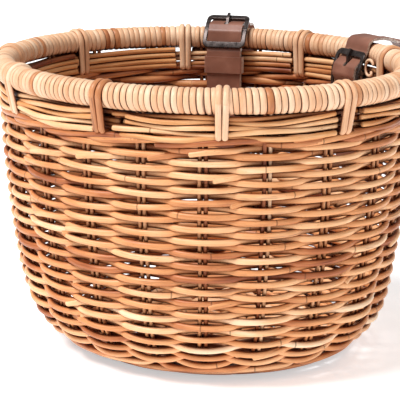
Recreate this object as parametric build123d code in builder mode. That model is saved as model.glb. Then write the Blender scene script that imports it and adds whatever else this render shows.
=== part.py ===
from build123d import *
from dataclasses import dataclass
import math
import os

os.makedirs("parts", exist_ok=True)

# An oval wicker handlebar basket with two buckled leather straps.
# Frame: origin under the middle of the base, +X along the longer axis of the oval,
# +Y towards the handlebar, +Z up. Sizes are in millimetres, angles in degrees.

# ---- driving dimensions: the oval bowl ----
oval_ratio = 0.876               # short axis over long axis, at every height
rim_half_length = 141.3          # rim's centre line, half its longer axis
rim_half_width = rim_half_length * oval_ratio
rim_height = 192.0
rim_radius = 8.25                # over the cane wrapping
rim_core_radius = 6.9
fit_gap = 0.05

wall_top_half_length = 139.2     # middle surface, where the stakes stand
wall_bow_radius = 594.0          # slight outward bow of the wall in side view
wall_bow_height = 170.0          # height where the wall stands upright
corner_start_angle = 12.3        # lean of the wall where the bottom corner begins
weave_top = 168.2

stake_radius = 1.4
stake_foot = 18.0                # length of a stake's foot inside the base
stake_gap = 1.7                  # from the stakes' middle surface to either weave layer
weave_thickness = 4.6
pair_count = 20
pair_shift = 0.2                 # first pair's place, in stake spacings from the middle of the back
pair_half_spacing = 1.85

base_middle = stake_gap + weave_thickness
stick_radius = 1.5
slath_half = 13.0                # the square where the base sticks cross

border_cane_radius = 1.75
border_canes_per_side = 4
border_pitch = 3.55
border_low = 171.4
border_offset = 3.3              # border canes stand this far to either side of the stakes

tie_count = 10
tie_shift = 0.01                 # first tie's place, in stake spacings from the middle of the back
tie_strip_width = 4.0
tie_strip_spacing = 4.4
tie_thickness = 1.0
tie_clearance = 0.25

# ---- driving dimensions: straps and buckles ----
strap_width = 25.0
leather = 1.6
layer_gap = 0.15
bar_loop_radius = 13.0           # inside radius of the loop that holds the handlebar
bar_centre_out = 21.4            # handlebar's middle, out from the rim's centre line
bar_centre_drop = 6.0
slot_clearance = 0.5             # round a strap where it passes through the wall
buckle_outer_width = 32.0
buckle_side_width = 3.0
buckle_half_length = 15.0
buckle_band = 1.7                # thickness of the frame's metal
buckle_bow_radius = 40.0         # the frame is bowed lengthwise
end_bar_width = 4.4
buckle_corner = 4.5
centre_bar_radius = 1.1
centre_bar_drop = 2.0            # centre bar lies this far behind the frame's middle
prong_radius = 1.0
prong_reach = 15.4
prong_slot_width = 3.4
keeper_height = 12.0
keeper_thickness = 1.4
keeper_clearance = 0.35
keeper_drop = 10.0               # keeper's middle, below the point where the strap turns upright
crossing_drop = 31.0             # the strap leaves through the wall this far below that point
return_drop = 26.0               # the folded end stops this far below it
rivet_drop = 21.5
rivet_radius = 1.3
rivet_head_radius = 2.6
rivet_head_height = 0.7
rivet_spacing = 12.0
tail_end = -80.0                 # from the rim's centre line
tail_hole_radius = 1.9
tail_hole_pitch = 20.0
tail_tip_radius = 9.0


# ---- the bowl's middle surface in side view: two tangent arcs and the flat base ----
lean = math.radians(corner_start_angle)
lean_direction = Vector(math.cos(lean), -math.sin(lean))
bow_centre = Vector(wall_top_half_length - wall_bow_radius, wall_bow_height)
corner_point = bow_centre + lean_direction * wall_bow_radius
corner_radius = (corner_point.Y - base_middle) / (1 - math.sin(lean))
corner_centre = corner_point - lean_direction * corner_radius


def bow_point(offset, height):
    """Point of the bowed wall at a height, offset outward from the middle surface."""
    rise = height - bow_centre.Y
    return bow_centre + Vector(math.sqrt((wall_bow_radius + offset) ** 2 - rise**2), rise)


def corner_arc_point(offset, angle):
    """Point of the bottom corner, at an angle below the horizontal."""
    return corner_centre + Vector(math.cos(angle), -math.sin(angle)) * (corner_radius + offset)


def layer_edge(offset):
    """Points of one side of a weave layer, from its top down to the flat base."""
    return (
        bow_point(offset, weave_top),
        bow_point(offset, (weave_top + corner_point.Y) / 2),
        corner_arc_point(offset, lean),
        corner_arc_point(offset, (lean + math.pi / 2) / 2),
        corner_arc_point(offset, math.pi / 2),
    )


# ---- places round the oval ----
rim_line = Edge.make_ellipse(rim_half_length, rim_half_width, start_angle=90, end_angle=450)


def round_place(count):
    """Point on the rim's centre line and the level outward direction there.

    Places are counted in stake spacings from the middle of the back, positive towards +X.
    """
    point = rim_line.position_at((-count / pair_count) % 1.0)
    slope = Vector(point.X / rim_half_length**2, point.Y / rim_half_width**2, 0)
    return point, slope.normalized()


def cross_plane(count, height):
    """Upright plane across the rim: local x points outward, local y points up."""
    point, outward = round_place(count)
    up = Vector(0, 0, 1)
    return Plane(origin=(point.X, point.Y, height), x_dir=outward, z_dir=outward.cross(up))


# ---- the two straps, each drawn in its own upright plane across the rim ----
@dataclass
class Strap:
    """Where a strap sits: its buckle's middle, out and up from the rim's centre line."""

    name: str
    place: float
    buckle_out: float
    buckle_up: float
    tilt: float                  # of the buckle, from upright
    over_rim: tuple              # corners of the strap's way over the rim, with their radii

    @property
    def plane(self):
        return cross_plane(self.place, rim_height)

    def at(self, along, raised):
        """Point in the buckle's own directions: along the strap, and raised from the rim."""
        angle = math.radians(self.tilt)
        down = Vector(-math.sin(angle), -math.cos(angle))
        outside = Vector(-math.cos(angle), math.sin(angle))
        return Vector(self.buckle_out, self.buckle_up) + down * along + outside * raised

    @property
    def upright_point(self):
        """Where the tail leaves the buckle and turns to hang straight down."""
        return self.at(buckle_half_length + 0.8, -5.9)

    @property
    def crossing(self):
        return self.upright_point.Y - crossing_drop


left = Strap("left", -1.35, -11.2, 7.9, 46.0, ())
right = Strap("right", 1.585, -18.4, -11.0, 12.7, (((8.0, 11.2), 25.0), ((-7.2, 10.8), 6.0)))
straps = (left, right)

layer_step = leather + layer_gap
fold_radius = centre_bar_radius + 0.1 + leather / 2
hump = fold_radius - centre_bar_drop + layer_step


def beside(points, distance):
    """Corners of a line that runs beside another one, at a distance to its left."""
    moved = []
    for before, corner, after in zip(points, points[1:], points[2:]):
        first, second = (corner - before).normalized(), (after - corner).normalized()
        left_1, left_2 = Vector(-first.Y, first.X), Vector(-second.Y, second.X)
        mitre = (left_1 + left_2) / (1 + left_1.dot(left_2))
        moved.append(corner + mitre * distance)
    return moved


def tail_corners(strap):
    """Corners of the tail from the hump over the centre bar down to where it hangs."""
    hanging = strap.upright_point
    return [
        strap.at(-3.2, hump),
        strap.at(3.2, hump),
        strap.at(10.2, -4.1),
        hanging,
        hanging - Vector(0, return_drop),
    ]


def strap_route(strap):
    """Corners of the strap's centre line with the radius of each bend.

    From the folded end: up to the centre bar, round it, down and out through the wall,
    round the handlebar's place, over the rim, through the buckle and down as the tail.
    """
    tail = tail_corners(strap)
    front = beside(tail, layer_step)
    back = beside(tail, 2 * layer_step)
    hanging = strap.upright_point
    bar_reach = bar_loop_radius + leather / 2
    bar_outer = bar_centre_out + bar_reach
    bar_low, bar_high = -bar_centre_drop - bar_reach, -bar_centre_drop + bar_reach
    fold_low = -centre_bar_drop - fold_radius
    route = [
        (Vector(front[2].X, hanging.Y - return_drop), 0),
        (front[2], 3.0),
        (front[1], 3.0),
        (front[0], 1.2),
        (strap.at(-fold_radius, hump - layer_step), fold_radius - 0.02),
        (strap.at(-fold_radius, fold_low), fold_radius - 0.02),
        (strap.at(0.8, fold_low), 1.0),
        (back[1], 3.0),
        (back[2], 3.0),
        (Vector(back[2].X, strap.crossing), 5.0),
        (Vector(7.0, strap.crossing), 4.0),
        (Vector(14.0, bar_low), 6.0),
        (Vector(bar_outer, bar_low), bar_reach - 0.05),
        (Vector(bar_outer, bar_high), bar_reach - 0.05),
        (Vector(bar_centre_out - 4.0, bar_high), 6.0),
    ]
    route += [(Vector(*corner), radius) for corner, radius in strap.over_rim]
    route += [
        (strap.at(-buckle_half_length - 0.8, -5.9), 3.0),
        (strap.at(-10.2, -4.1), 3.0),
        (tail[0], 2.5),
        (tail[1], 2.5),
        (tail[2], 3.0),
        (hanging, 3.0),
        (Vector(hanging.X, tail_end), 0),
    ]
    return route


def buckle_plane(strap):
    """Plane of a strap's buckle in side view: local x along the strap, local y raised."""
    middle, along = strap.at(0, 0), strap.at(1, 0)
    origin = strap.plane.from_local_coords(middle)
    ahead = strap.plane.from_local_coords(along) - origin
    return Plane(origin=origin, x_dir=ahead, z_dir=-strap.plane.z_dir)


def rivet_plane(strap):
    """Upright plane on the front of the folded end, facing outward, level with its rivets."""
    hanging = strap.upright_point
    front_face = Vector(hanging.X + layer_step - leather / 2, hanging.Y - rivet_drop)
    origin = strap.plane.from_local_coords(front_face)
    return Plane(origin=origin, x_dir=strap.plane.z_dir, z_dir=strap.plane.x_dir)


def make_strap(strap):
    route = strap_route(strap)
    corners = [corner for corner, _ in route]
    radii = [radius for _, radius in route[1:-1]]
    with BuildPart() as leather_strap:
        with BuildSketch(strap.plane):
            with BuildLine():
                FilletPolyline(*corners, radius=radii)
            trace(line_width=leather)
        extrude(amount=strap_width / 2, both=True)
        tip = strap.plane.from_local_coords(corners[-1])
        ends = leather_strap.edges().filter_by(lambda edge: abs(edge.length - leather) < fit_gap)
        fillet(ends.sort_by_distance(tip)[:2], radius=tail_tip_radius)
        with BuildSketch(buckle_plane(strap)):
            with Locations((-6.6, -1.5)):
                Rectangle(8.2, 8.0)
            with Locations((-0.6, -2.2)):
                Rectangle(6.2, 2 * (hump - leather / 2 + 2.2) - 0.1)
        extrude(amount=prong_slot_width / 2, both=True, mode=Mode.SUBTRACT)
        across = Plane(origin=tip, x_dir=strap.plane.z_dir, z_dir=strap.plane.x_dir)
        with BuildSketch(across):
            with Locations((0, tail_hole_pitch * 0.6), (0, tail_hole_pitch * 1.6)):
                Circle(tail_hole_radius)
        extrude(amount=leather, both=True, mode=Mode.SUBTRACT)
        with BuildSketch(rivet_plane(strap)):
            with GridLocations(rivet_spacing, 0, 2, 1):
                Circle(rivet_radius)
        extrude(amount=2 * layer_step, mode=Mode.SUBTRACT)
    return leather_strap


def make_rivets(strap):
    shank = layer_step + leather
    with BuildPart() as rivets:
        with BuildSketch(rivet_plane(strap)):
            with GridLocations(rivet_spacing, 0, 2, 1):
                Circle(rivet_radius)
        extrude(amount=shank)
        with BuildSketch(rivet_plane(strap).offset(shank)):
            with GridLocations(rivet_spacing, 0, 2, 1):
                Circle(rivet_head_radius)
        extrude(amount=rivet_head_height, taper=20)
    return rivets


def make_buckle_frame(strap):
    side = buckle_plane(strap)
    face = Plane(origin=side.origin, x_dir=side.x_dir, z_dir=side.y_dir)
    window_width = buckle_outer_width - 2 * buckle_side_width
    lug_middle = (window_width + buckle_side_width) / 2
    bow_angle = math.degrees((buckle_half_length + 1.0) / buckle_bow_radius)
    with BuildPart() as frame:
        with BuildSketch(side):
            with BuildLine():
                for radius in (buckle_bow_radius - buckle_band / 2, buckle_bow_radius + buckle_band / 2):
                    CenterArc((0, -buckle_bow_radius), radius, 90 - bow_angle, 2 * bow_angle)
                for angle in (90 - bow_angle, 90 + bow_angle):
                    PolarLine(
                        Vector(0, -buckle_bow_radius)
                        + Vector(math.cos(math.radians(angle)), math.sin(math.radians(angle)))
                        * (buckle_bow_radius - buckle_band / 2),
                        buckle_band,
                        angle,
                    )
            make_face()
        extrude(amount=buckle_outer_width / 2, both=True)
        with BuildSketch(face):
            RectangleRounded(2 * buckle_half_length, buckle_outer_width, buckle_corner)
            RectangleRounded(
                2 * (buckle_half_length - end_bar_width), window_width, buckle_corner / 3, mode=Mode.SUBTRACT
            )
        extrude(amount=buckle_half_length, both=True, mode=Mode.INTERSECT)
        fillet(frame.edges().filter_by(lambda edge: edge.length > buckle_band * 1.5), radius=0.5)
        for end in (-lug_middle, lug_middle):
            with BuildSketch(side.offset(end)):
                with Locations((0, -centre_bar_drop / 2 - 0.3)):
                    SlotCenterToCenter(centre_bar_drop - 0.6, 3.4, rotation=90)
            extrude(amount=buckle_side_width / 2 - 0.2, both=True)
        with BuildSketch(side):
            with Locations((0, -centre_bar_drop)):
                Circle(centre_bar_radius)
        extrude(amount=lug_middle, both=True)
    return frame


def make_prong(strap):
    side = buckle_plane(strap)
    eye = (0, -centre_bar_drop)
    with BuildPart() as prong:
        with BuildSketch(side):
            with Locations(eye):
                Circle(centre_bar_radius + 1.05)
            with BuildLine():
                FilletPolyline((-1.2, -1.4), (-10.4, 0.65), (-prong_reach, -0.75), radius=6.0)
            trace(line_width=2 * prong_radius)
            with Locations(eye):
                Circle(centre_bar_radius + fit_gap, mode=Mode.SUBTRACT)
        extrude(amount=prong_radius, both=True)
    return prong


def make_keeper(strap):
    hanging = strap.upright_point
    middle = Vector(hanging.X + layer_step, hanging.Y - keeper_drop)
    depth = 2 * layer_step + leather + 2 * keeper_clearance
    width = strap_width + 2 * keeper_clearance
    wall = 2 * keeper_thickness
    level = Plane(origin=strap.plane.from_local_coords(middle), x_dir=strap.plane.x_dir, z_dir=(0, 0, 1))
    with BuildPart() as keeper:
        with BuildSketch(level):
            RectangleRounded(depth + wall, width + wall, keeper_thickness + 0.5)
            RectangleRounded(depth, width, 0.5, mode=Mode.SUBTRACT)
        extrude(amount=keeper_height / 2, both=True)
    return keeper


# ---- wall and base ----
def make_weave_layer(inside, outside):
    """Oval shell between two offsets from the stakes' surface, open at top and bottom."""
    with BuildPart() as layer:
        with BuildSketch(Plane.XZ):
            with BuildLine():
                for start, half_way, joint, belly, foot in (layer_edge(inside), layer_edge(outside)):
                    ThreePointArc(start, half_way, joint)
                    ThreePointArc(joint, belly, foot)
                Line(layer_edge(inside)[0], layer_edge(outside)[0])
                Line(layer_edge(inside)[-1], layer_edge(outside)[-1])
            make_face()
        revolve(axis=Axis.Z)
        scale(by=(1, oval_ratio, 1))
        for strap in straps:
            with BuildSketch(strap.plane):
                with Locations((0, strap.crossing)):
                    Rectangle(rim_radius * 4, leather + 2 * slot_clearance)
            extrude(amount=strap_width / 2 + slot_clearance, both=True, mode=Mode.SUBTRACT)
    return layer


def make_base_disc(bottom):
    with BuildPart() as disc:
        with BuildSketch(Plane.XY.offset(bottom)):
            Ellipse(corner_centre.X, corner_centre.X * oval_ratio)
        extrude(amount=weave_thickness)
    return disc


def pair_directions(count):
    """Level directions at a stake pair, from the middle and along the wall, and the oval's squeeze."""
    point, outward = round_place(count + pair_shift)
    turn = math.atan2(point.Y / oval_ratio, point.X)
    spoke = Vector(math.cos(turn), oval_ratio * math.sin(turn), 0)
    return spoke.normalized(), outward.cross(Vector(0, 0, 1)), spoke.length


def stake_line(squeeze):
    """Centre line of a stake: in the base, round the corner and up to the rim."""
    stake_top = rim_height - rim_radius - stake_radius
    top_angle = math.degrees(math.asin((stake_top - bow_centre.Y) / wall_bow_radius))
    foot = squeeze * corner_centre.X
    with BuildLine() as line:
        Line((foot - stake_foot, base_middle), (foot, base_middle))
        EllipticalCenterArc(
            (foot, corner_centre.Y), squeeze * corner_radius, corner_radius,
            start_angle=-90, arc_size=90 - corner_start_angle,
        )
        EllipticalCenterArc(
            (squeeze * bow_centre.X, bow_centre.Y), squeeze * wall_bow_radius, wall_bow_radius,
            start_angle=-corner_start_angle, arc_size=corner_start_angle + top_angle,
        )
    return line.wires()[0]


def stake(count, side):
    """One rod of a pair, beside the upright plane through the pair's middle."""
    spoke, along_wall, squeeze = pair_directions(count)
    beside_middle = along_wall * side * pair_half_spacing
    plane = Plane(origin=beside_middle, x_dir=spoke, z_dir=spoke.cross(Vector(0, 0, 1)))
    path = plane * stake_line(squeeze)
    with BuildPart() as rod:
        with BuildSketch(Plane(origin=path @ 0, z_dir=path % 0)):
            Circle(stake_radius)
        sweep(path=path)
    return rod.part


def base_stick(count):
    """A stick of the base, from the crossed middle out to the feet of one stake pair."""
    spoke, _, squeeze = pair_directions(count)
    start = slath_half * 1.5
    with BuildPart() as stick:
        with BuildSketch(Plane(origin=spoke * start + Vector(0, 0, base_middle), z_dir=spoke)):
            Circle(stick_radius)
        extrude(amount=squeeze * corner_centre.X - stake_foot - 1.0 - start)
    return stick.part


# ---- border and rim ----
def cane_ring(offset, height):
    """A round cane bent round the stakes' tops, inside or outside them."""
    half_length = wall_top_half_length + offset
    half_width = wall_top_half_length * oval_ratio + offset
    with BuildPart() as ring:
        with BuildLine(Plane.XY.offset(height)) as path:
            EllipticalCenterArc((0, 0), half_length, half_width, start_angle=0, arc_size=360)
        with BuildSketch(Plane((half_length, 0, height), x_dir=(1, 0, 0), z_dir=(0, 1, 0))):
            Circle(border_cane_radius)
        sweep(path=path.wires()[0])
    return ring.part


def border_canes(offset):
    return [cane_ring(offset, border_low + n * border_pitch) for n in range(border_canes_per_side)]


def tie_angle(count):
    """Angle of a tie along the rim's ellipse, in degrees."""
    point, _ = round_place(count * pair_count / tie_count + tie_shift)
    return math.degrees(math.atan2(point.Y / rim_half_width, point.X / rim_half_length))


def wrap_sleeve(count):
    """The wrapping of cane peel between two ties, as one sleeve round the core."""
    start, end = tie_angle(count + 1), tie_angle(count)
    with BuildPart() as sleeve:
        with BuildLine(Plane.XY.offset(rim_height)) as path:
            EllipticalCenterArc(
                (0, 0), rim_half_length, rim_half_width, start_angle=start, arc_size=(end - start) % 360 - 0.1
            )
        line = path.wires()[0]
        with BuildSketch(Plane(origin=line @ 0, z_dir=line % 0)):
            Circle(rim_radius)
            Circle(rim_core_radius + fit_gap, mode=Mode.SUBTRACT)
        sweep(path=line)
    return sleeve.part


def tie_strip(count, side):
    """One of a tie's two strips: a band over the rim and under the border canes."""
    plane = cross_plane(count * pair_count / tie_count + tie_shift, 0).offset(side * tie_strip_spacing / 2)
    canes_middle = wall_top_half_length - rim_half_length
    with BuildPart() as strip:
        for grown, mode in ((tie_thickness, Mode.ADD), (0, Mode.SUBTRACT)):
            with BuildSketch(plane):
                with Locations((0, rim_height)):
                    Circle(rim_radius + tie_clearance + grown)
                for beside_stakes in (-border_offset, border_offset):
                    with Locations((canes_middle + beside_stakes, border_low)):
                        Circle(border_cane_radius + tie_clearance + grown)
                make_hull()
            extrude(amount=tie_strip_width / 2, both=True, mode=mode)
    return strip.part


def rim_ring():
    with BuildPart() as ring:
        with BuildLine(Plane.XY.offset(rim_height)) as path:
            EllipticalCenterArc((0, 0), rim_half_length, rim_half_width, start_angle=0, arc_size=360)
        with BuildSketch(Plane((rim_half_length, 0, rim_height), x_dir=(1, 0, 0), z_dir=(0, 1, 0))):
            Circle(rim_core_radius)
        sweep(path=path.wires()[0])
    return ring


with BuildPart() as base_slath:
    with BuildSketch(Plane.XY.offset(base_middle - stick_radius)):
        Rectangle(2 * slath_half, 2 * slath_half)
    extrude(amount=2 * stick_radius)
    chamfer(base_slath.edges().filter_by(Axis.Z), length=slath_half / 5)

ties = [tie_strip(count, side) for count in range(tie_count) for side in (-1, 1)]
pieces = {
    "base_slath": base_slath.part,
    "base_sticks": Compound(children=[base_stick(count) for count in range(pair_count)]),
    "base_weave_lower": make_base_disc(0).part,
    "base_weave_upper": make_base_disc(base_middle + stake_gap).part,
    "side_stakes": Compound(children=[stake(count, side) for count in range(pair_count) for side in (-1, 1)]),
    "wall_weave_inner": make_weave_layer(-stake_gap - weave_thickness, -stake_gap).part,
    "wall_weave_outer": make_weave_layer(stake_gap, stake_gap + weave_thickness).part,
    "border_canes_inner": Compound(children=border_canes(-border_offset)),
    "border_canes_outer": Compound(children=border_canes(border_offset)),
    "rim_core": rim_ring().part,
    "rim_wrap": Compound(children=[wrap_sleeve(count) for count in range(tie_count)]),
    "rim_ties": Compound(children=ties),
}
for strap in straps:
    pieces[f"{strap.name}_strap"] = make_strap(strap).part
    pieces[f"{strap.name}_buckle_frame"] = make_buckle_frame(strap).part
    pieces[f"{strap.name}_buckle_prong"] = make_prong(strap).part
    pieces[f"{strap.name}_keeper"] = make_keeper(strap).part
    pieces[f"{strap.name}_rivets"] = make_rivets(strap).part

for name, piece in pieces.items():
    piece.label = name
    export_step(piece, f"parts/{name}.step")
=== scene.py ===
import bpy
import math
import random

import numpy as np
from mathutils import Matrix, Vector

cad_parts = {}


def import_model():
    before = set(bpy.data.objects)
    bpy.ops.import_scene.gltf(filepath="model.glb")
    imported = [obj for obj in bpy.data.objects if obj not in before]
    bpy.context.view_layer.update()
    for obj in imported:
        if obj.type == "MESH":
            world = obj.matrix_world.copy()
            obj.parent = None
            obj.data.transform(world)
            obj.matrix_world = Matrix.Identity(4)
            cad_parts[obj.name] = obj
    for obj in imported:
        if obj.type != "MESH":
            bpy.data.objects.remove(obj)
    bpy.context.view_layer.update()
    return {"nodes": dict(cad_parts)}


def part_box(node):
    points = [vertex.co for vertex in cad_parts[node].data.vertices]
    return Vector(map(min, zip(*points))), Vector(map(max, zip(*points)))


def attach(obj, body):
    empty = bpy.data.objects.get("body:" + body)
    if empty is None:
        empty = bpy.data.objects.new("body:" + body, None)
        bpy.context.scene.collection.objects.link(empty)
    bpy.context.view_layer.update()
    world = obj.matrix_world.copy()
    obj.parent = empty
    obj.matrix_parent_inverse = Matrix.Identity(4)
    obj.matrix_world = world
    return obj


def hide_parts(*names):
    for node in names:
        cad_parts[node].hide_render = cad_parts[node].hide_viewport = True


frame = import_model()

# A wicker handlebar basket, in metres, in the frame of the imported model: origin under the
# base, +X along the longer axis, +Y towards the handlebar, +Z up. Places round the oval
# are counted in stake spacings from the middle of the back, positive towards +X.

random.seed(7)
MM = 0.001

# ---- sizes taken from the frame ----
wrap_low, wrap_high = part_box("rim_wrap")
core_low, core_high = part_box("rim_core")
weave_low, weave_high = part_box("wall_weave_outer")
RIM_RADIUS = (wrap_high.z - wrap_low.z) / 2
RIM_CORE = (core_high.z - core_low.z) / 2
RIM_Z = (wrap_high.z + wrap_low.z) / 2
RIM_X = core_high.x - RIM_CORE
RIM_Y = core_high.y - RIM_CORE
RATIO = RIM_Y / RIM_X
WEAVE_TOP = weave_high.z

# ---- sizes of the weave ----
STAKE_R = 1.4 * MM
WEAVER_R = 2.32 * MM
WEAVE_HALF = 6.3 * MM          # from the middle surface, where the stakes stand, to the outside
WALL_TOP_X = weave_high.x - WEAVE_HALF
BASE_Z = WEAVE_HALF
BOW_R = 594 * MM               # the wall bows out along an arc of this radius
BOW_Z = 170 * MM               # height of that arc's centre
LEAN = math.radians(12.3)      # where the corner's tighter arc takes over
PAIRS = 20
PAIR_SHIFT = 0.2
PAIR_HALF = 1.85 * MM
CROWDED_PLACE = 8.6            # in front, where the stake pairs stand closest
CROWDING = 0.045
CROWDED_WIDTH = 4.5
ROW_PITCH = 4.17 * MM
SLATH = 19 * MM                # half the crossed middle of the base
CANE_SIDES = 12
STICK_SIDES = 8
STICK_R = 1.5 * MM
BORDER_R = 1.72 * MM
INNER_BORDER_R = 1.75 * MM
UP = np.array([0, 0, 1.0])

# The bays between ties are widest at the back, where the straps are, and narrowest from
# the +X end round to the middle of the front.
FIRST_TIE = -2.15
TIE_BAYS = [2.25] * 2 + [1.86] * 4 + [2.015] * 4
TIE_PLACES = [FIRST_TIE + sum(TIE_BAYS[:k]) for k in range(len(TIE_BAYS))]


# ---- the bowl's middle surface: two arcs and the flat base, by distance down from the top ----
bow_x = WALL_TOP_X - BOW_R
joint_x = bow_x + BOW_R * math.cos(LEAN)
joint_z = BOW_Z - BOW_R * math.sin(LEAN)
CORNER_R = (joint_z - BASE_Z) / (1 - math.sin(LEAN))
corner_x = joint_x - CORNER_R * math.cos(LEAN)
corner_z = joint_z + CORNER_R * math.sin(LEAN)
bow_length = BOW_R * (LEAN + math.asin((WEAVE_TOP - BOW_Z) / BOW_R))
corner_length = CORNER_R * (math.pi / 2 - LEAN)
FULL_LENGTH = bow_length + corner_length + corner_x


def profile(down):
    """Half length, height and lean of the middle surface, at distances down from the weave's top."""
    down = np.asarray(down, dtype=float)
    bow_angle = down / BOW_R - math.asin((WEAVE_TOP - BOW_Z) / BOW_R)
    corner_angle = LEAN + (down - bow_length) / CORNER_R
    flat = down - bow_length - corner_length
    on_bow, on_corner = down < bow_length, down < bow_length + corner_length
    half = np.where(on_bow, bow_x + BOW_R * np.cos(bow_angle), corner_x + CORNER_R * np.cos(corner_angle))
    high = np.where(on_bow, BOW_Z - BOW_R * np.sin(bow_angle), corner_z - CORNER_R * np.sin(corner_angle))
    lean = np.where(on_bow, bow_angle, corner_angle)
    half = np.where(on_corner, half, corner_x - flat)
    high = np.where(on_corner, high, BASE_Z)
    return half, high, np.where(on_corner, lean, math.pi / 2)


# ---- places round the oval: the rim's arc length gives the angle at each place ----
fine = np.linspace(-2 * math.pi, 4 * math.pi, 24001)
steps = np.hypot(np.diff(RIM_X * np.sin(fine)), np.diff(RIM_Y * np.cos(fine)))
reach = np.concatenate([[0], np.cumsum(steps)])
PERIMETER = reach[-1] / 3
SPACING = PERIMETER / PAIRS
reach = (reach - np.interp(0, fine, reach)) / SPACING


def turn(place):
    return np.interp(place, reach, fine)


def stake_count(place):
    """Which stake pair stands at a place: pairs stand a little closer together round the front."""
    off = np.asarray(place) - CROWDED_PLACE
    return place - PAIR_SHIFT + CROWDING * off * np.exp(-(off / CROWDED_WIDTH) ** 2)


def stake_place(pair):
    """The place of a stake pair, found by turning stake_count round."""
    place = pair + PAIR_SHIFT
    for _ in range(4):
        place += pair - stake_count(place)
    return place


def on_oval(place, half_x, half_y, high):
    """Points at places on a level oval, with the level outward directions there."""
    angle = turn(place)
    height = np.broadcast_to(high, angle.shape)
    points = np.stack([half_x * np.sin(angle), half_y * np.cos(angle), height], -1)
    out = np.stack([np.sin(angle) / half_x, np.cos(angle) / half_y, np.zeros_like(angle)], -1)
    return points, out / np.linalg.norm(out, axis=-1, keepdims=True)


def on_wall(place, down):
    """Points and outward normals of the bowl's middle surface."""
    half, high, lean = profile(down)
    points, out = on_oval(place, half, half * RATIO, high)
    lean = np.asarray(lean)[..., None]
    return points, out * np.cos(lean) - UP * np.sin(lean)


# ---- canes: many tubes or strips in one mesh, each with its own tone and grain ----
class Canes:
    """Collects tubes along paths into one mesh with attributes for the materials."""

    def __init__(self):
        self.points, self.faces, self.grain, self.tone, self.cut = [], [], [], [], []
        self.count = 0

    def add(self, path, normals, section, radius, tone, closed=False, round_ends=True):
        """Sweeps a section, given as (across, outward) units, along a path with outward normals."""
        path, normals = np.asarray(path), np.asarray(normals)
        radius = np.broadcast_to(np.asarray(radius, dtype=float), (len(path),)).copy()
        along = np.concatenate([[0], np.cumsum(np.linalg.norm(np.diff(path, axis=0), axis=1))])
        cut = np.zeros(len(path))
        if closed:
            tangent = np.roll(path, -1, 0) - np.roll(path, 1, 0)
        else:
            tangent = np.gradient(path, axis=0)
        tangent /= np.linalg.norm(tangent, axis=1, keepdims=True)
        if not closed and round_ends:
            path, normals, tangent, radius, along, cut = self.rounded(
                path, normals, tangent, radius, along, cut
            )
        across = np.cross(tangent, normals)
        across /= np.linalg.norm(across, axis=1, keepdims=True)
        normals = np.cross(across, tangent)
        section = np.asarray(section)
        sides = len(section)
        sideways = section[None, :, 0, None] * across[:, None, :]
        outward = section[None, :, 1, None] * normals[:, None, :]
        verts = path[:, None, :] + radius[:, None, None] * (sideways + outward)
        rows = len(path)
        grid = self.count + np.arange(rows * sides).reshape(rows, sides)
        if closed:
            grid = np.vstack([grid, grid[:1]])
        a, b = grid[:-1], grid[1:]
        quads = np.stack([a, np.roll(a, -1, 1), np.roll(b, -1, 1), b], -1).reshape(-1, 4)
        self.faces.extend(quads.tolist())
        if not closed:
            self.faces.append(grid[0][::-1].tolist())
            self.faces.append(grid[-1].tolist())
        angle = np.arctan2(section[:, 0], section[:, 1]) / (2 * math.pi)
        seed = random.random() * 50
        grain = np.stack(np.broadcast_arrays(along[:, None], angle[None, :], seed), -1)
        self.points.append(verts.reshape(-1, 3))
        self.grain.append(grain.reshape(-1, 3))
        self.tone.append(np.full(rows * sides, tone))
        self.cut.append(np.repeat(cut, sides))
        self.count += rows * sides

    @staticmethod
    def rounded(path, normals, tangent, radius, along, cut):
        """Adds smaller rings past both ends, so that a cane ends in a worn, rounded cut."""
        steps_out = [(0.28, 0.93), (0.45, 0.78), (0.55, 0.5)]    # distance and size, in radii
        out = []
        for end, way in ((0, -1), (-1, 1)):
            r = radius[end]
            extra = [(path[end] + tangent[end] * way * r * far, r * size) for far, size in steps_out]
            out.append(extra[::-1] if end == 0 else extra)
        first, last = out
        path = np.vstack([[p for p, _ in first], path, [p for p, _ in last]])
        radius = np.concatenate([[r for _, r in first], radius, [r for _, r in last]])
        pad = len(first)

        def stretch(values):
            return np.concatenate([np.repeat(values[:1], pad, 0), values, np.repeat(values[-1:], pad, 0)])

        cut = stretch(cut)
        cut[:pad] = cut[-pad:] = 1
        return path, stretch(normals), stretch(tangent), radius, stretch(along), cut

    def build(self, name, material, replaced=(), body="basket"):
        mesh = bpy.data.meshes.new(name)
        mesh.from_pydata(np.vstack(self.points).tolist(), [], self.faces)
        for label, kind, values in (
            ("grain", "FLOAT_VECTOR", np.vstack(self.grain)),
            ("tone", "FLOAT", np.concatenate(self.tone)),
            ("cut", "FLOAT", np.concatenate(self.cut)),
        ):
            layer = mesh.attributes.new(label, kind, "POINT")
            layer.data.foreach_set("vector" if kind == "FLOAT_VECTOR" else "value", values.ravel())
        mesh.shade_smooth()
        mesh.validate()
        return place_piece(name, mesh, material, replaced, body)


def place_piece(name, mesh, material, replaced=(), body="basket"):
    piece = bpy.data.objects.new(name, mesh)
    bpy.context.collection.objects.link(piece)
    piece.data.materials.append(material)
    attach(piece, body)
    if replaced:
        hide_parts(*replaced)
    return piece


def circle(sides):
    angles = np.arange(sides) / sides * 2 * math.pi
    return np.stack([np.sin(angles), np.cos(angles)], -1)


# A flat strip of cane peel, crowned outside: half its width is one unit.
STRIP = np.array([
    (-1, -0.42), (-0.95, -0.12), (-0.8, 0.06), (-0.45, 0.19), (0, 0.24),
    (0.45, 0.19), (0.8, 0.06), (0.95, -0.12), (1, -0.42),
])
TIE_STRIP = STRIP * [1, 1.9]
TIE_HALF_WIDTH = 2.1 * MM


# ---- materials ----
BLACK, WHITE = (0, 0, 0), (1, 1, 1)


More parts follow.
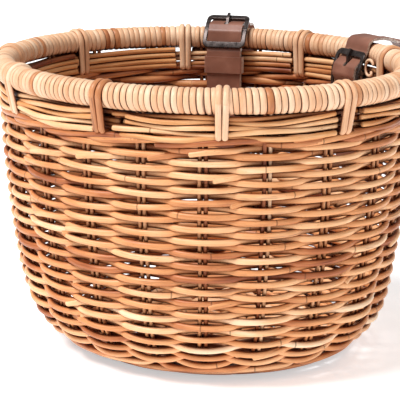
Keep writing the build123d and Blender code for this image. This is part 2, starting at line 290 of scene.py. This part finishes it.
class Nodes:
    """A material with short ways to add and link its nodes."""

    def __init__(self, name, slot=None):
        self.material = bpy.data.materials.new(name)
        self.material.use_nodes = True
        if slot:
            self.material["slot"] = slot
        self.tree = self.material.node_tree
        self.shader = self.tree.nodes["Principled BSDF"]

    def add(self, kind, **settings):
        node = self.tree.nodes.new("ShaderNode" + kind)
        for key, value in settings.items():
            if key in node.inputs:
                node.inputs[key].default_value = value
            else:
                setattr(node, key, value)
        return node

    def link(self, source, target):
        self.tree.links.new(source, target)

    def math(self, operation, *values):
        node = self.add("Math", operation=operation)
        for socket, value in zip(node.inputs, values):
            if isinstance(value, (int, float)):
                socket.default_value = value
            else:
                self.link(value, socket)
        return node.outputs[0]

    def attribute(self, name):
        return self.add("Attribute", attribute_name=name)

    def noise(self, vector, scale, detail=3.0, roughness=0.55):
        node = self.add("TexNoise", Scale=scale, Detail=detail, Roughness=roughness)
        self.link(vector, node.inputs["Vector"])
        return node.outputs["Fac"]

    def along(self, grain):
        """Distance along a cane, which is the first number of its grain."""
        node = self.add("SeparateXYZ")
        self.link(grain, node.inputs[0])
        return node.outputs[0]

    def scaled(self, vector, scale):
        node = self.add("VectorMath", operation="MULTIPLY")
        self.link(vector, node.inputs[0])
        node.inputs[1].default_value = scale
        return node.outputs[0]

    def ramp(self, factor, stops):
        node = self.add("ValToRGB")
        elements = node.color_ramp.elements
        elements[0].position, elements[0].color = stops[0][0], (*stops[0][1], 1)
        elements[1].position, elements[1].color = stops[-1][0], (*stops[-1][1], 1)
        for position, color in stops[1:-1]:
            element = elements.new(position)
            element.color = (*color, 1)
        self.link(factor, node.inputs[0])
        return node.outputs[0]

    def mix(self, factor, a, b, blend="MIX"):
        node = self.add("Mix", data_type="RGBA", blend_type=blend)
        for socket, value in zip((node.inputs[0], node.inputs[6], node.inputs[7]), (factor, a, b)):
            if isinstance(value, tuple):
                socket.default_value = (*value, 1)
            elif isinstance(value, (int, float)):
                socket.default_value = value
            else:
                self.link(value, socket)
        return node.outputs[2]

    def bump(self, height, distance, strength=1.0):
        node = self.add("Bump", Distance=distance, Strength=strength)
        self.link(height, node.inputs["Height"])
        self.link(node.outputs[0], self.shader.inputs["Normal"])


# Noise scales for a cane's grain: along it in metres, round it in turns, and from cane to cane.
PATCH_SCALE = (26, 0.9, 1)
STREAK_SCALE = (55, 14, 1)
SPECK_SCALE = (420, 22, 1)
STAIN_SCALE = (17, 2.2, 1.7)
JOINT_PITCH = 0.17             # distance between a cane's rings
RING_WIDTH = 0.6 * MM
# Painted shade: near other canes, a cane's colour is tinted warmer and darker, and deep in the gaps it is
# mixed towards a near-black red. This sets how far off other canes still count.
PAINTED_SHADE_REACH = 14 * MM

PAINTED_WARM_SHADE = (0.66, 0.36, 0.22)
PAINTED_CREVICE_SHADE = (0.075, 0.012, 0.003)
CUT_END = (0.62, 0.36, 0.18)
STAIN = (0.20, 0.055, 0.03)
SPECK = (0.16, 0.06, 0.02)
RING = (0.10, 0.03, 0.01)


def rattan(name, slot, stops, rough=0.36):
    """Cane: long grain, patches of warmer colour, dark rings, stains, specks, and painted shade in its
    crevices.
    """
    n = Nodes(name, slot)
    grain = n.attribute("grain").outputs["Vector"]
    tone = n.attribute("tone").outputs["Fac"]
    cut = n.attribute("cut").outputs["Fac"]

    def grain_noise(scale, detail, roughness=0.55):
        return n.noise(n.scaled(grain, scale), 1.0, detail, roughness)

    def around_half(value, amount):
        return n.math("MULTIPLY", n.math("SUBTRACT", value, 0.5), amount)

    def cover(color, mask, amount, paint):
        return n.mix(n.math("MULTIPLY", mask, amount), color, paint)

    patches = grain_noise(PATCH_SCALE, 2.0)
    streaks = grain_noise(STREAK_SCALE, 4.0, 0.6)
    specks = grain_noise(SPECK_SCALE, 1.0)
    stains = n.math("MULTIPLY", grain_noise(STAIN_SCALE, 2.0), n.math("ADD", streaks, 0.5))
    shade = n.math("ADD", tone, around_half(patches, 0.85))
    shade = n.math("ADD", shade, around_half(streaks, 0.5))
    color = n.ramp(shade, stops)
    color = cover(color, n.ramp(specks, [(0.70, BLACK), (0.76, WHITE)]), 0.45, SPECK)
    color = cover(color, n.ramp(stains, [(0.64, BLACK), (0.76, WHITE)]), 0.62, STAIN)

    joint = n.math("FRACT", n.math("ADD", n.math("MULTIPLY", n.along(grain), 1 / JOINT_PITCH), tone))
    wavy_middle = n.math("ADD", 0.5, n.math("MULTIPLY", patches, 0.012))
    beside = n.math("ABSOLUTE", n.math("SUBTRACT", joint, wavy_middle))
    ring = n.ramp(beside, [(0.0, WHITE), (RING_WIDTH / JOINT_PITCH, BLACK)])
    color = cover(color, ring, 0.75, RING)
    color = cover(color, cut, 0.35, CUT_END)

    # Painted shade: where the ambient occlusion finds other canes close, the colour is tinted warmer and
    # darker, then mixed towards a near-black red deep in the gaps.
    open_air = n.add("AmbientOcclusion", samples=8, Distance=PAINTED_SHADE_REACH).outputs["AO"]
    color_in_painted_shade = n.mix(1.0, color, PAINTED_WARM_SHADE, "MULTIPLY")
    color = n.mix(n.ramp(open_air, [(0.26, BLACK), (0.72, WHITE)]), color_in_painted_shade, color)
    color = n.mix(n.ramp(open_air, [(0.15, BLACK), (0.56, WHITE)]), PAINTED_CREVICE_SHADE, color)
    n.link(color, n.shader.inputs["Base Color"])
    n.shader.inputs["Roughness"].default_value = rough
    n.shader.inputs["Specular IOR Level"].default_value = 0.26
    n.bump(n.math("ADD", streaks, n.math("MULTIPLY", ring, 0.8)), 0.22 * MM, 0.7)
    return n.material


WEAVER = rattan("rattan_weavers", "rattan", [
    (0.0, (0.19, 0.045, 0.02)), (0.25, (0.45, 0.145, 0.052)), (0.55, (0.73, 0.325, 0.13)),
    (0.85, (0.90, 0.53, 0.28)), (1.0, (0.94, 0.67, 0.44)),
])
BORDER = rattan("rattan_border", "rattan", [
    (0.0, (0.20, 0.05, 0.02)), (0.25, (0.45, 0.155, 0.052)), (0.6, (0.72, 0.34, 0.13)),
    (1.0, (0.92, 0.62, 0.36)),
])
PEEL = rattan("cane_peel", "cane_peel", [
    (0.0, (0.34, 0.10, 0.032)), (0.3, (0.60, 0.26, 0.115)), (0.65, (0.80, 0.475, 0.28)),
    (1.0, (0.90, 0.65, 0.45)),
], 0.34)
# The rim's core shows only in the gaps between the wrap strips; its dark brown is painted shade in those
# gaps.
CORE = rattan("shaded_core", "rattan", [(0.0, (0.16, 0.05, 0.02)), (1.0, (0.30, 0.11, 0.045))])


# ---- weaving ----
def cane_tone(middle, spread, stained=0.02):
    """A cane's tone, from 0 dark to 1 pale; now and then a cane is stained."""
    if random.random() < stained:
        return random.uniform(0.05, 0.28)
    return min(1.0, max(0.05, random.gauss(middle, spread)))


def over_and_under(place, row, group=1):
    """Swing of a weaver, +1 outside a stake pair and -1 inside, alternating from row to row."""
    swing = np.cos(math.pi * ((stake_count(place) - (group - 1) / 2) / group + row))
    return np.sign(swing) * np.abs(swing) ** 0.72


def weave_row(canes, row, down, pieces_in_row=2, group=1):
    """One closed row of the weave, made of a few canes whose ends overlap."""
    overlap = 0.45
    start = random.uniform(0, PAIRS)
    shares = np.cumsum([0] + [random.uniform(0.8, 1.2) for _ in range(pieces_in_row)])
    shares = shares / shares[-1] * PAIRS
    wobble = [random.uniform(-0.3, 0.3) * MM for _ in range(7)]
    for first, last in zip(shares, shares[1:]):
        span = last - first + overlap
        places = start + first + np.linspace(0, span, int(span * 16))
        round_once = 2 * math.pi * places / PAIRS
        drift = sum(size * np.sin(round_once * (2 * k + 1) + k * 1.7) for k, size in enumerate(wobble))
        tucked = 1 - np.clip((places - start - first) / overlap, 0, 1)
        lift = np.clip((places - (start + last)) / overlap, 0, 1)
        radius = WEAVER_R * random.uniform(0.93, 1.06)
        points, normals = on_wall(places, down + drift + 1.9 * MM * lift**2)
        swing = over_and_under(places, row, group) * (STAKE_R + radius - 0.25 * MM)
        swing = swing - tucked * 0.6 * MM + lift * 0.7 * MM
        path = points + normals * swing[:, None]
        thickness = radius - np.where(swing > 0, 0.08, 0.16) * swing
        canes.add(path, normals, circle(CANE_SIDES), thickness, cane_tone(0.6, 0.14))


def wale_row(canes, down, strands=3):
    """A row of three strands, each over two stake pairs and under one, one pair after another."""
    for strand in range(strands):
        start = random.uniform(0, PAIRS)
        places = start + np.linspace(0, PAIRS + 0.4, 330)
        phase = 2 * math.pi * (stake_count(places) + strand) / strands
        swing = np.tanh(2.6 * (np.cos(phase) + 0.42)) * (STAKE_R + WEAVER_R - 0.1 * MM)
        rise = 1.75 * MM * np.sin(phase)
        points, normals = on_wall(places, down + rise + random.uniform(-0.2, 0.2) * MM)
        path = points + normals * swing[:, None]
        radius = WEAVER_R * random.uniform(0.86, 0.94)
        canes.add(path, normals, circle(CANE_SIDES), radius, cane_tone(0.5, 0.15))


def at_lean(degrees):
    """Distance down the profile to where the corner leans by an angle."""
    return bow_length + CORNER_R * (math.radians(degrees) - LEAN)


TOP_WALE = 1.9 * MM            # distances down the profile
FIRST_ROW = TOP_WALE + 4.6 * MM
FOOT_WALES = [at_lean(58), at_lean(66), at_lean(74)]
WALE_ROOM = 2.4 * MM
PAIRED_PART = 58 * MM          # nearer the middle of the base, weavers pass two pairs at a time


def wall_weave():
    canes = Canes()
    wale_row(canes, TOP_WALE)
    rows = int((FOOT_WALES[0] - WALE_ROOM - FIRST_ROW) / ROW_PITCH)
    for row in range(rows):
        weave_row(canes, row, FIRST_ROW + row * ROW_PITCH)
    for down in FOOT_WALES:
        wale_row(canes, down)
    return canes.build("wall_weavers", WEAVER, ("wall_weave_outer", "wall_weave_inner"))


def base_weave():
    canes = Canes()
    down = FOOT_WALES[-1] + 2 * WALE_ROOM
    row = 0
    while FULL_LENGTH - down > SLATH:
        group = 1 if FULL_LENGTH - down > PAIRED_PART else 2
        weave_row(canes, row, down, 1, group)
        down += ROW_PITCH
        row += 1
    return canes.build("base_weavers", WEAVER, ("base_weave_lower", "base_weave_upper"))


def stakes():
    canes = Canes()
    top = RIM_Z - RIM_RADIUS + 1 * MM
    bottom = bow_length + corner_length + 16 * MM
    downs = np.linspace(WEAVE_TOP - top, bottom, 60)
    for pair in range(PAIRS):
        place = stake_place(pair)
        for side in (-1, 1):
            points, normals = on_wall(np.full(len(downs), place), downs)
            level = normals[0] * [1, 1, 0]
            beside = np.cross(level / np.linalg.norm(level), UP)
            sway = side * PAIR_HALF + 0.25 * MM * np.sin(downs * 60 + pair * 2.1 + side)
            path = points + beside * sway[:, None]
            canes.add(path, normals, circle(STICK_SIDES), STAKE_R, cane_tone(0.62, 0.15))
    return canes.build("upright_stakes", WEAVER, ("side_stakes",))


def base_sticks():
    """Sticks across the base: five side by side over five others, then all fan out to the stake pairs."""
    canes = Canes()
    half_group = PAIRS // 8
    side_by_side = 3.3 * MM
    tips = np.array([bow_length + corner_length + 17 * MM])
    for first, layer in ((0, -STICK_R), (PAIRS // 4, STICK_R)):
        for step in range(-half_group, half_group + 1):
            pair = first + step
            corners = []
            for way, end in ((1, pair), (-1, pair + PAIRS // 2)):
                outer, _ = on_wall(np.array([stake_place(end)]), tips)
                beside = step * side_by_side
                inner = (beside, way * SLATH) if first == 0 else (way * SLATH, -beside)
                corners.append((outer[0], np.array([*inner, BASE_Z + layer])))
            (start, near), (end, far) = corners
            legs = [np.linspace(start, near, 30), np.linspace(near, far, 16), np.linspace(far, end, 30)]
            path = np.vstack([legs[0], legs[1][1:-1], legs[2]])
            for _ in range(12):
                path[1:-1] = (path[:-2] + 2 * path[1:-1] + path[2:]) / 4
            ups = np.tile(UP, (len(path), 1))
            canes.add(path, ups, circle(STICK_SIDES), STICK_R, cane_tone(0.55, 0.1))
    return canes.build("base_spokes", WEAVER, ("base_sticks", "base_slath"))


def border_outside():
    """Long canes under the rim, in bundles over two bays that bunch and end beside every other tie."""
    canes = Canes()
    sags = [3.0 * MM, 2.4 * MM, 1.0 * MM, 0.5 * MM, 0.2 * MM]
    top_lane, lane_step, lanes_seen = 13.9, 4.0, 4
    part = np.linspace(0, 1, 110)
    bulge = np.sin(math.pi * part)
    for tie in range(0, len(TIE_PLACES), 2):
        two_bays = TIE_BAYS[tie] + TIE_BAYS[tie + 1]
        for lane, sag in enumerate(sags):
            first = random.uniform(0.13, 0.18)
            last = two_bays - random.uniform(0.16, 0.45)
            places = TIE_PLACES[tie] + first + (last - first) * part
            lane_height = top_lane - lane_step * (lane % lanes_seen) + random.uniform(-0.3, 0.3)
            phase = random.uniform(0, 2 * math.pi)
            wave = random.uniform(0.9, 1.6) * MM * np.sin(3.4 * math.pi * part + phase)
            level = WEAVE_TOP + lane_height * MM - sag * bulge**0.8 - 1.2 * MM * part + wave * bulge
            behind = 0 if lane < lanes_seen else 1.6 * MM
            outward = (3.6 + 1.3 * np.sin(3 * math.pi * part + lane * 2.2)) * MM - behind
            points, normals = on_oval(places, WALL_TOP_X + outward, WALL_TOP_X * RATIO + outward, level)
            radius = BORDER_R * random.uniform(0.95, 1.12)
            canes.add(points, normals, circle(CANE_SIDES), radius, cane_tone(0.68, 0.16, 0.05))
    return canes.build("border_bundle_outer", BORDER, ("border_canes_outer",))


def border_inside():
    """Shorter canes inside, that rise to a tie and end beside it, cut round, over the next ones' tails."""
    canes = Canes()
    part = np.linspace(0, 1, 60)
    for tie, tie_place in enumerate(TIE_PLACES):
        for lane in range(4):
            bays = 1.0 + random.uniform(0.0, 0.55)
            places = tie_place - random.uniform(0.14, 0.24) - (1 - part) * bays * TIE_BAYS[tie - 1]
            end_z = WEAVE_TOP + (15.0 - 3.8 * lane + random.uniform(-0.3, 0.3)) * MM
            drop = (3.6 + random.uniform(-0.8, 1.0)) * MM
            lowest = WEAVE_TOP + (1.4 + 0.9 * (lane % 2)) * MM
            level = np.maximum(end_z - drop * (1 - part) ** 1.15, lowest)
            inward = (1.9 + 2.9 / (1 + np.exp(-(part - 0.38) * 16))) * MM
            points, normals = on_oval(places, WALL_TOP_X - inward, WALL_TOP_X * RATIO - inward, level)
            radius = INNER_BORDER_R * random.uniform(0.95, 1.12)
            canes.add(points, -normals, circle(CANE_SIDES), radius, cane_tone(0.6, 0.2, 0.05))
    return canes.build("border_bundle_inner", BORDER, ("border_canes_inner",))


def rim_wrapping():
    """Flat cane peel wound round the rim's core, one strip beside the other."""
    canes = Canes()
    place = 0.0
    part = np.linspace(0, 1, 37)
    angle = -math.pi / 2 + 2 * math.pi * part       # each turn starts and ends under the rim
    while place < PAIRS:
        width = random.uniform(3.5, 4.5) * MM
        centre = place + width / 2 / SPACING
        slant = random.uniform(0.5, 0.95)
        places = centre + (part - 0.5) * slant * width / SPACING
        points, out = on_oval(places, RIM_X, RIM_Y, RIM_Z)
        round_out = out * np.cos(angle)[:, None] + UP * np.sin(angle)[:, None]
        path = points + round_out * (RIM_RADIUS - random.uniform(0.42, 0.62) * MM)
        tone = cane_tone(0.74, 0.08, 0.03)
        half_width = width / 2 * random.uniform(0.96, 1.0)
        canes.add(path, round_out, STRIP, half_width, tone, round_ends=False)
        place += width / SPACING
    return canes.build("rim_peel", PEEL, ("rim_wrap",))


def hull_path(circles, count=96):
    """Closed outline pulled tight round circles given as (out, up, radius), with evenly spaced points."""
    angles = np.linspace(0, 2 * math.pi, 721)
    ways = np.stack([np.cos(angles), np.sin(angles)], -1)
    middles, radii = np.array(circles)[:, :2], np.array(circles)[:, 2]
    touching = np.argmax(middles @ ways.T + radii[:, None], axis=0)
    points = middles[touching] + ways * radii[touching, None]
    around = np.concatenate([[0], np.cumsum(np.linalg.norm(np.diff(points, axis=0), axis=1))])
    even = np.linspace(0, around[-1], count, endpoint=False)

    def spread(values):
        return np.stack([np.interp(even, around, values[:, k]) for k in range(2)], -1)

    return spread(points), spread(ways)


def ties():
    """Two strips side by side at each place, pulled tight round the rim and the border canes."""
    canes = Canes()
    drop = WALL_TOP_X - RIM_X
    low = WEAVE_TOP + 3.9 * MM
    outline, outward = hull_path([
        (0, RIM_Z, RIM_RADIUS + 0.7 * MM),
        (drop - 3.3 * MM, low, 3.1 * MM),
        (drop + 3.6 * MM, low, 3.4 * MM),
    ])
    down = (RIM_Z - outline[:, 1:]) / (RIM_Z - low)
    for tie_place in TIE_PLACES:
        slant = random.uniform(-0.7, 0.7) * MM
        middle, out = (both[0] for both in on_oval(np.array([tie_place]), RIM_X, RIM_Y, 0.0))
        beside = np.cross(out, UP)
        for side in (-1, 1):
            sideways = side * (2.3 - 0.35 * np.clip(down, 0, 1)) * MM + slant * down
            path = middle + out * outline[:, :1] + UP * outline[:, 1:] + beside * sideways
            normals = out * outward[:, :1] + UP * outward[:, 1:]
            canes.add(path, normals, TIE_STRIP, TIE_HALF_WIDTH, cane_tone(0.6, 0.12, 0), closed=True)
    return canes.build("rim_tie_strips", PEEL, ("rim_ties",))


def cane_curl():
    """The loose end of the wrap, curled up inside the rim beside the right strap."""
    canes = Canes()
    middle, out = (both[0] for both in on_oval(np.array([TIE_PLACES[2] - 0.27]), RIM_X, RIM_Y, RIM_Z))
    beside = np.cross(out, UP)
    part = np.linspace(0, 1, 60)[:, None]
    angle = 2.6 * math.pi * part
    size = (2.0 + 2.6 * (1 - part)) * MM
    inward = RIM_RADIUS + 2.4 * MM + 1.5 * MM * np.sin(4 * part)
    drop = 4 * MM + 9 * MM * part - size * np.sin(angle)
    path = middle - out * inward - UP * drop + beside * size * np.cos(angle)
    canes.add(path, np.tile(-out, (len(part), 1)), circle(10), 1.15 * MM, 0.9)
    return canes.build("wrap_end_curl", PEEL)


wall_weave()
base_weave()
stakes()
base_sticks()
border_outside()
border_inside()
rim_wrapping()
ties()
cane_curl()


# ---- leather and metal ----
def leather(name, way):
    """Smooth brown leather with fine pores, and a paler cut edge where it faces along the rim."""
    n = Nodes(name, "leather")
    coordinates = n.add("TexCoord")
    place = coordinates.outputs["Object"]
    pores = n.noise(place, 900.0, 4.0, 0.6)
    clouds = n.noise(place, 60.0, 3.0, 0.5)
    cells = n.add("TexVoronoi", Scale=1300.0)
    n.link(place, cells.inputs["Vector"])
    color = n.ramp(clouds, [
        (0.3, (0.19, 0.072, 0.045)), (0.55, (0.26, 0.105, 0.066)), (0.75, (0.34, 0.15, 0.098)),
    ])
    facing = n.add("VectorMath", operation="DOT_PRODUCT")
    n.link(coordinates.outputs["Normal"], facing.inputs[0])
    facing.inputs[1].default_value = way
    edge = n.ramp(n.math("ABSOLUTE", facing.outputs["Value"]), [(0.8, BLACK), (0.93, WHITE)])
    fibres = n.ramp(n.noise(place, 700.0), [(0.35, (0.30, 0.20, 0.16)), (0.65, (0.68, 0.56, 0.48))])
    color = n.mix(edge, color, fibres)
    n.link(color, n.shader.inputs["Base Color"])
    n.shader.inputs["Roughness"].default_value = 0.4
    n.shader.inputs["Specular IOR Level"].default_value = 0.5
    n.bump(n.math("ADD", pores, n.math("MULTIPLY", cells.outputs["Distance"], 0.6)), 0.12 * MM, 0.6)
    return n.material


def gunmetal():
    """Dark plated metal, duller where it is worn."""
    n = Nodes("buckle_metal", "gunmetal")
    place = n.add("TexCoord").outputs["Object"]
    wear = n.noise(place, 240.0, 4.0, 0.6)
    color = n.ramp(wear, [(0.35, (0.040, 0.030, 0.028)), (0.7, (0.10, 0.078, 0.072))])
    n.link(color, n.shader.inputs["Base Color"])
    rough = n.ramp(wear, [(0.3, (0.22, 0.22, 0.22)), (0.75, (0.38, 0.38, 0.38))])
    n.link(rough, n.shader.inputs["Roughness"])
    n.shader.inputs["Metallic"].default_value = 0.7
    n.bump(wear, 0.05 * MM, 0.4)
    return n.material


def along_rim(side):
    """The level direction across a strap, from where its buckle stands on the rim."""
    low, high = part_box(f"{side}_buckle_frame")
    middle = (low + high) / 2
    out = Vector((middle.x / RIM_X**2, middle.y / RIM_Y**2, 0)).normalized()
    return (-out.y, out.x, 0)


METAL = gunmetal()
LEATHER = {side: leather(f"{side}_leather", along_rim(side)) for side in ("left", "right")}
for name, node in frame["nodes"].items():
    if name.endswith(("strap", "keeper")):
        node.material_slots[0].material = LEATHER[name.split("_")[0]]
    elif "buckle" in name or "rivets" in name:
        node.material_slots[0].material = METAL
    elif name == "rim_core":
        node.material_slots[0].material = CORE


# ---- floor, light and camera ----
def floor():
    mesh = bpy.data.meshes.new("floor")
    half = 3.0
    corners = [(-half, -half, 0), (half, -half, 0), (half, half, 0), (-half, half, 0)]
    mesh.from_pydata(corners, [], [(0, 1, 2, 3)])
    piece = bpy.data.objects.new("floor", mesh)
    bpy.context.collection.objects.link(piece)
    n = Nodes("pale_floor")
    place = n.add("TexCoord").outputs["Object"]
    color = n.ramp(n.noise(place, 3.0), [(0.0, (0.90, 0.90, 0.91)), (1.0, (0.96, 0.96, 0.97))])
    n.link(color, n.shader.inputs["Base Color"])
    n.shader.inputs["Roughness"].default_value = 0.9
    n.shader.inputs["Emission Color"].default_value = (*WHITE, 1)
    n.shader.inputs["Emission Strength"].default_value = 0.5
    mesh.materials.append(n.material)


def sun(name, way, power, softness):
    data = bpy.data.lights.new(name, "SUN")
    data.energy, data.angle = power, math.radians(softness)
    lamp = bpy.data.objects.new(name, data)
    lamp.rotation_euler = Vector(way).to_track_quat("Z", "Y").to_euler()
    bpy.context.collection.objects.link(lamp)


def world():
    data = bpy.data.worlds.new("studio")
    bpy.context.scene.world = data
    data.use_nodes = True
    back = data.node_tree.nodes["Background"]
    back.inputs["Color"].default_value = (*WHITE, 1)
    back.inputs["Strength"].default_value = 0.30
    bpy.context.scene.view_settings.view_transform = "Standard"


AZIMUTH = math.radians(34.3)       # of the camera, from -Y towards +X
ELEVATION = math.radians(9.49)
DISTANCE = 8 * RIM_X
TIP = math.radians(4.6015)         # how far the view turns down and left of the rim's middle
PAN = math.radians(0.144)


def camera():
    """Stands at AZIMUTH and ELEVATION from the rim's middle, and is turned off it by TIP and PAN."""
    data = bpy.data.cameras.new("camera")
    data.lens = 150.4
    data.sensor_width = 36
    data.clip_end = 20
    view = bpy.data.objects.new("camera", data)
    rim_middle = Vector((0, 0, RIM_Z))
    level = Vector((math.sin(AZIMUTH), -math.cos(AZIMUTH), 0)) * math.cos(ELEVATION)
    view.location = rim_middle + (level + Vector((0, 0, math.sin(ELEVATION)))) * DISTANCE
    aim = (rim_middle - view.location).to_track_quat("-Z", "Y")
    ahead = aim @ Vector((-math.tan(PAN), -math.tan(TIP), -1))
    view.rotation_euler = ahead.to_track_quat("-Z", "Y").to_euler()
    bpy.context.collection.objects.link(view)
    bpy.context.scene.camera = view


floor()
world()
sun("key", (-0.34, -0.62, 1.12), 3.5, 26)
sun("side", (1.0, -0.35, 0.7), 0.45, 50)
camera()
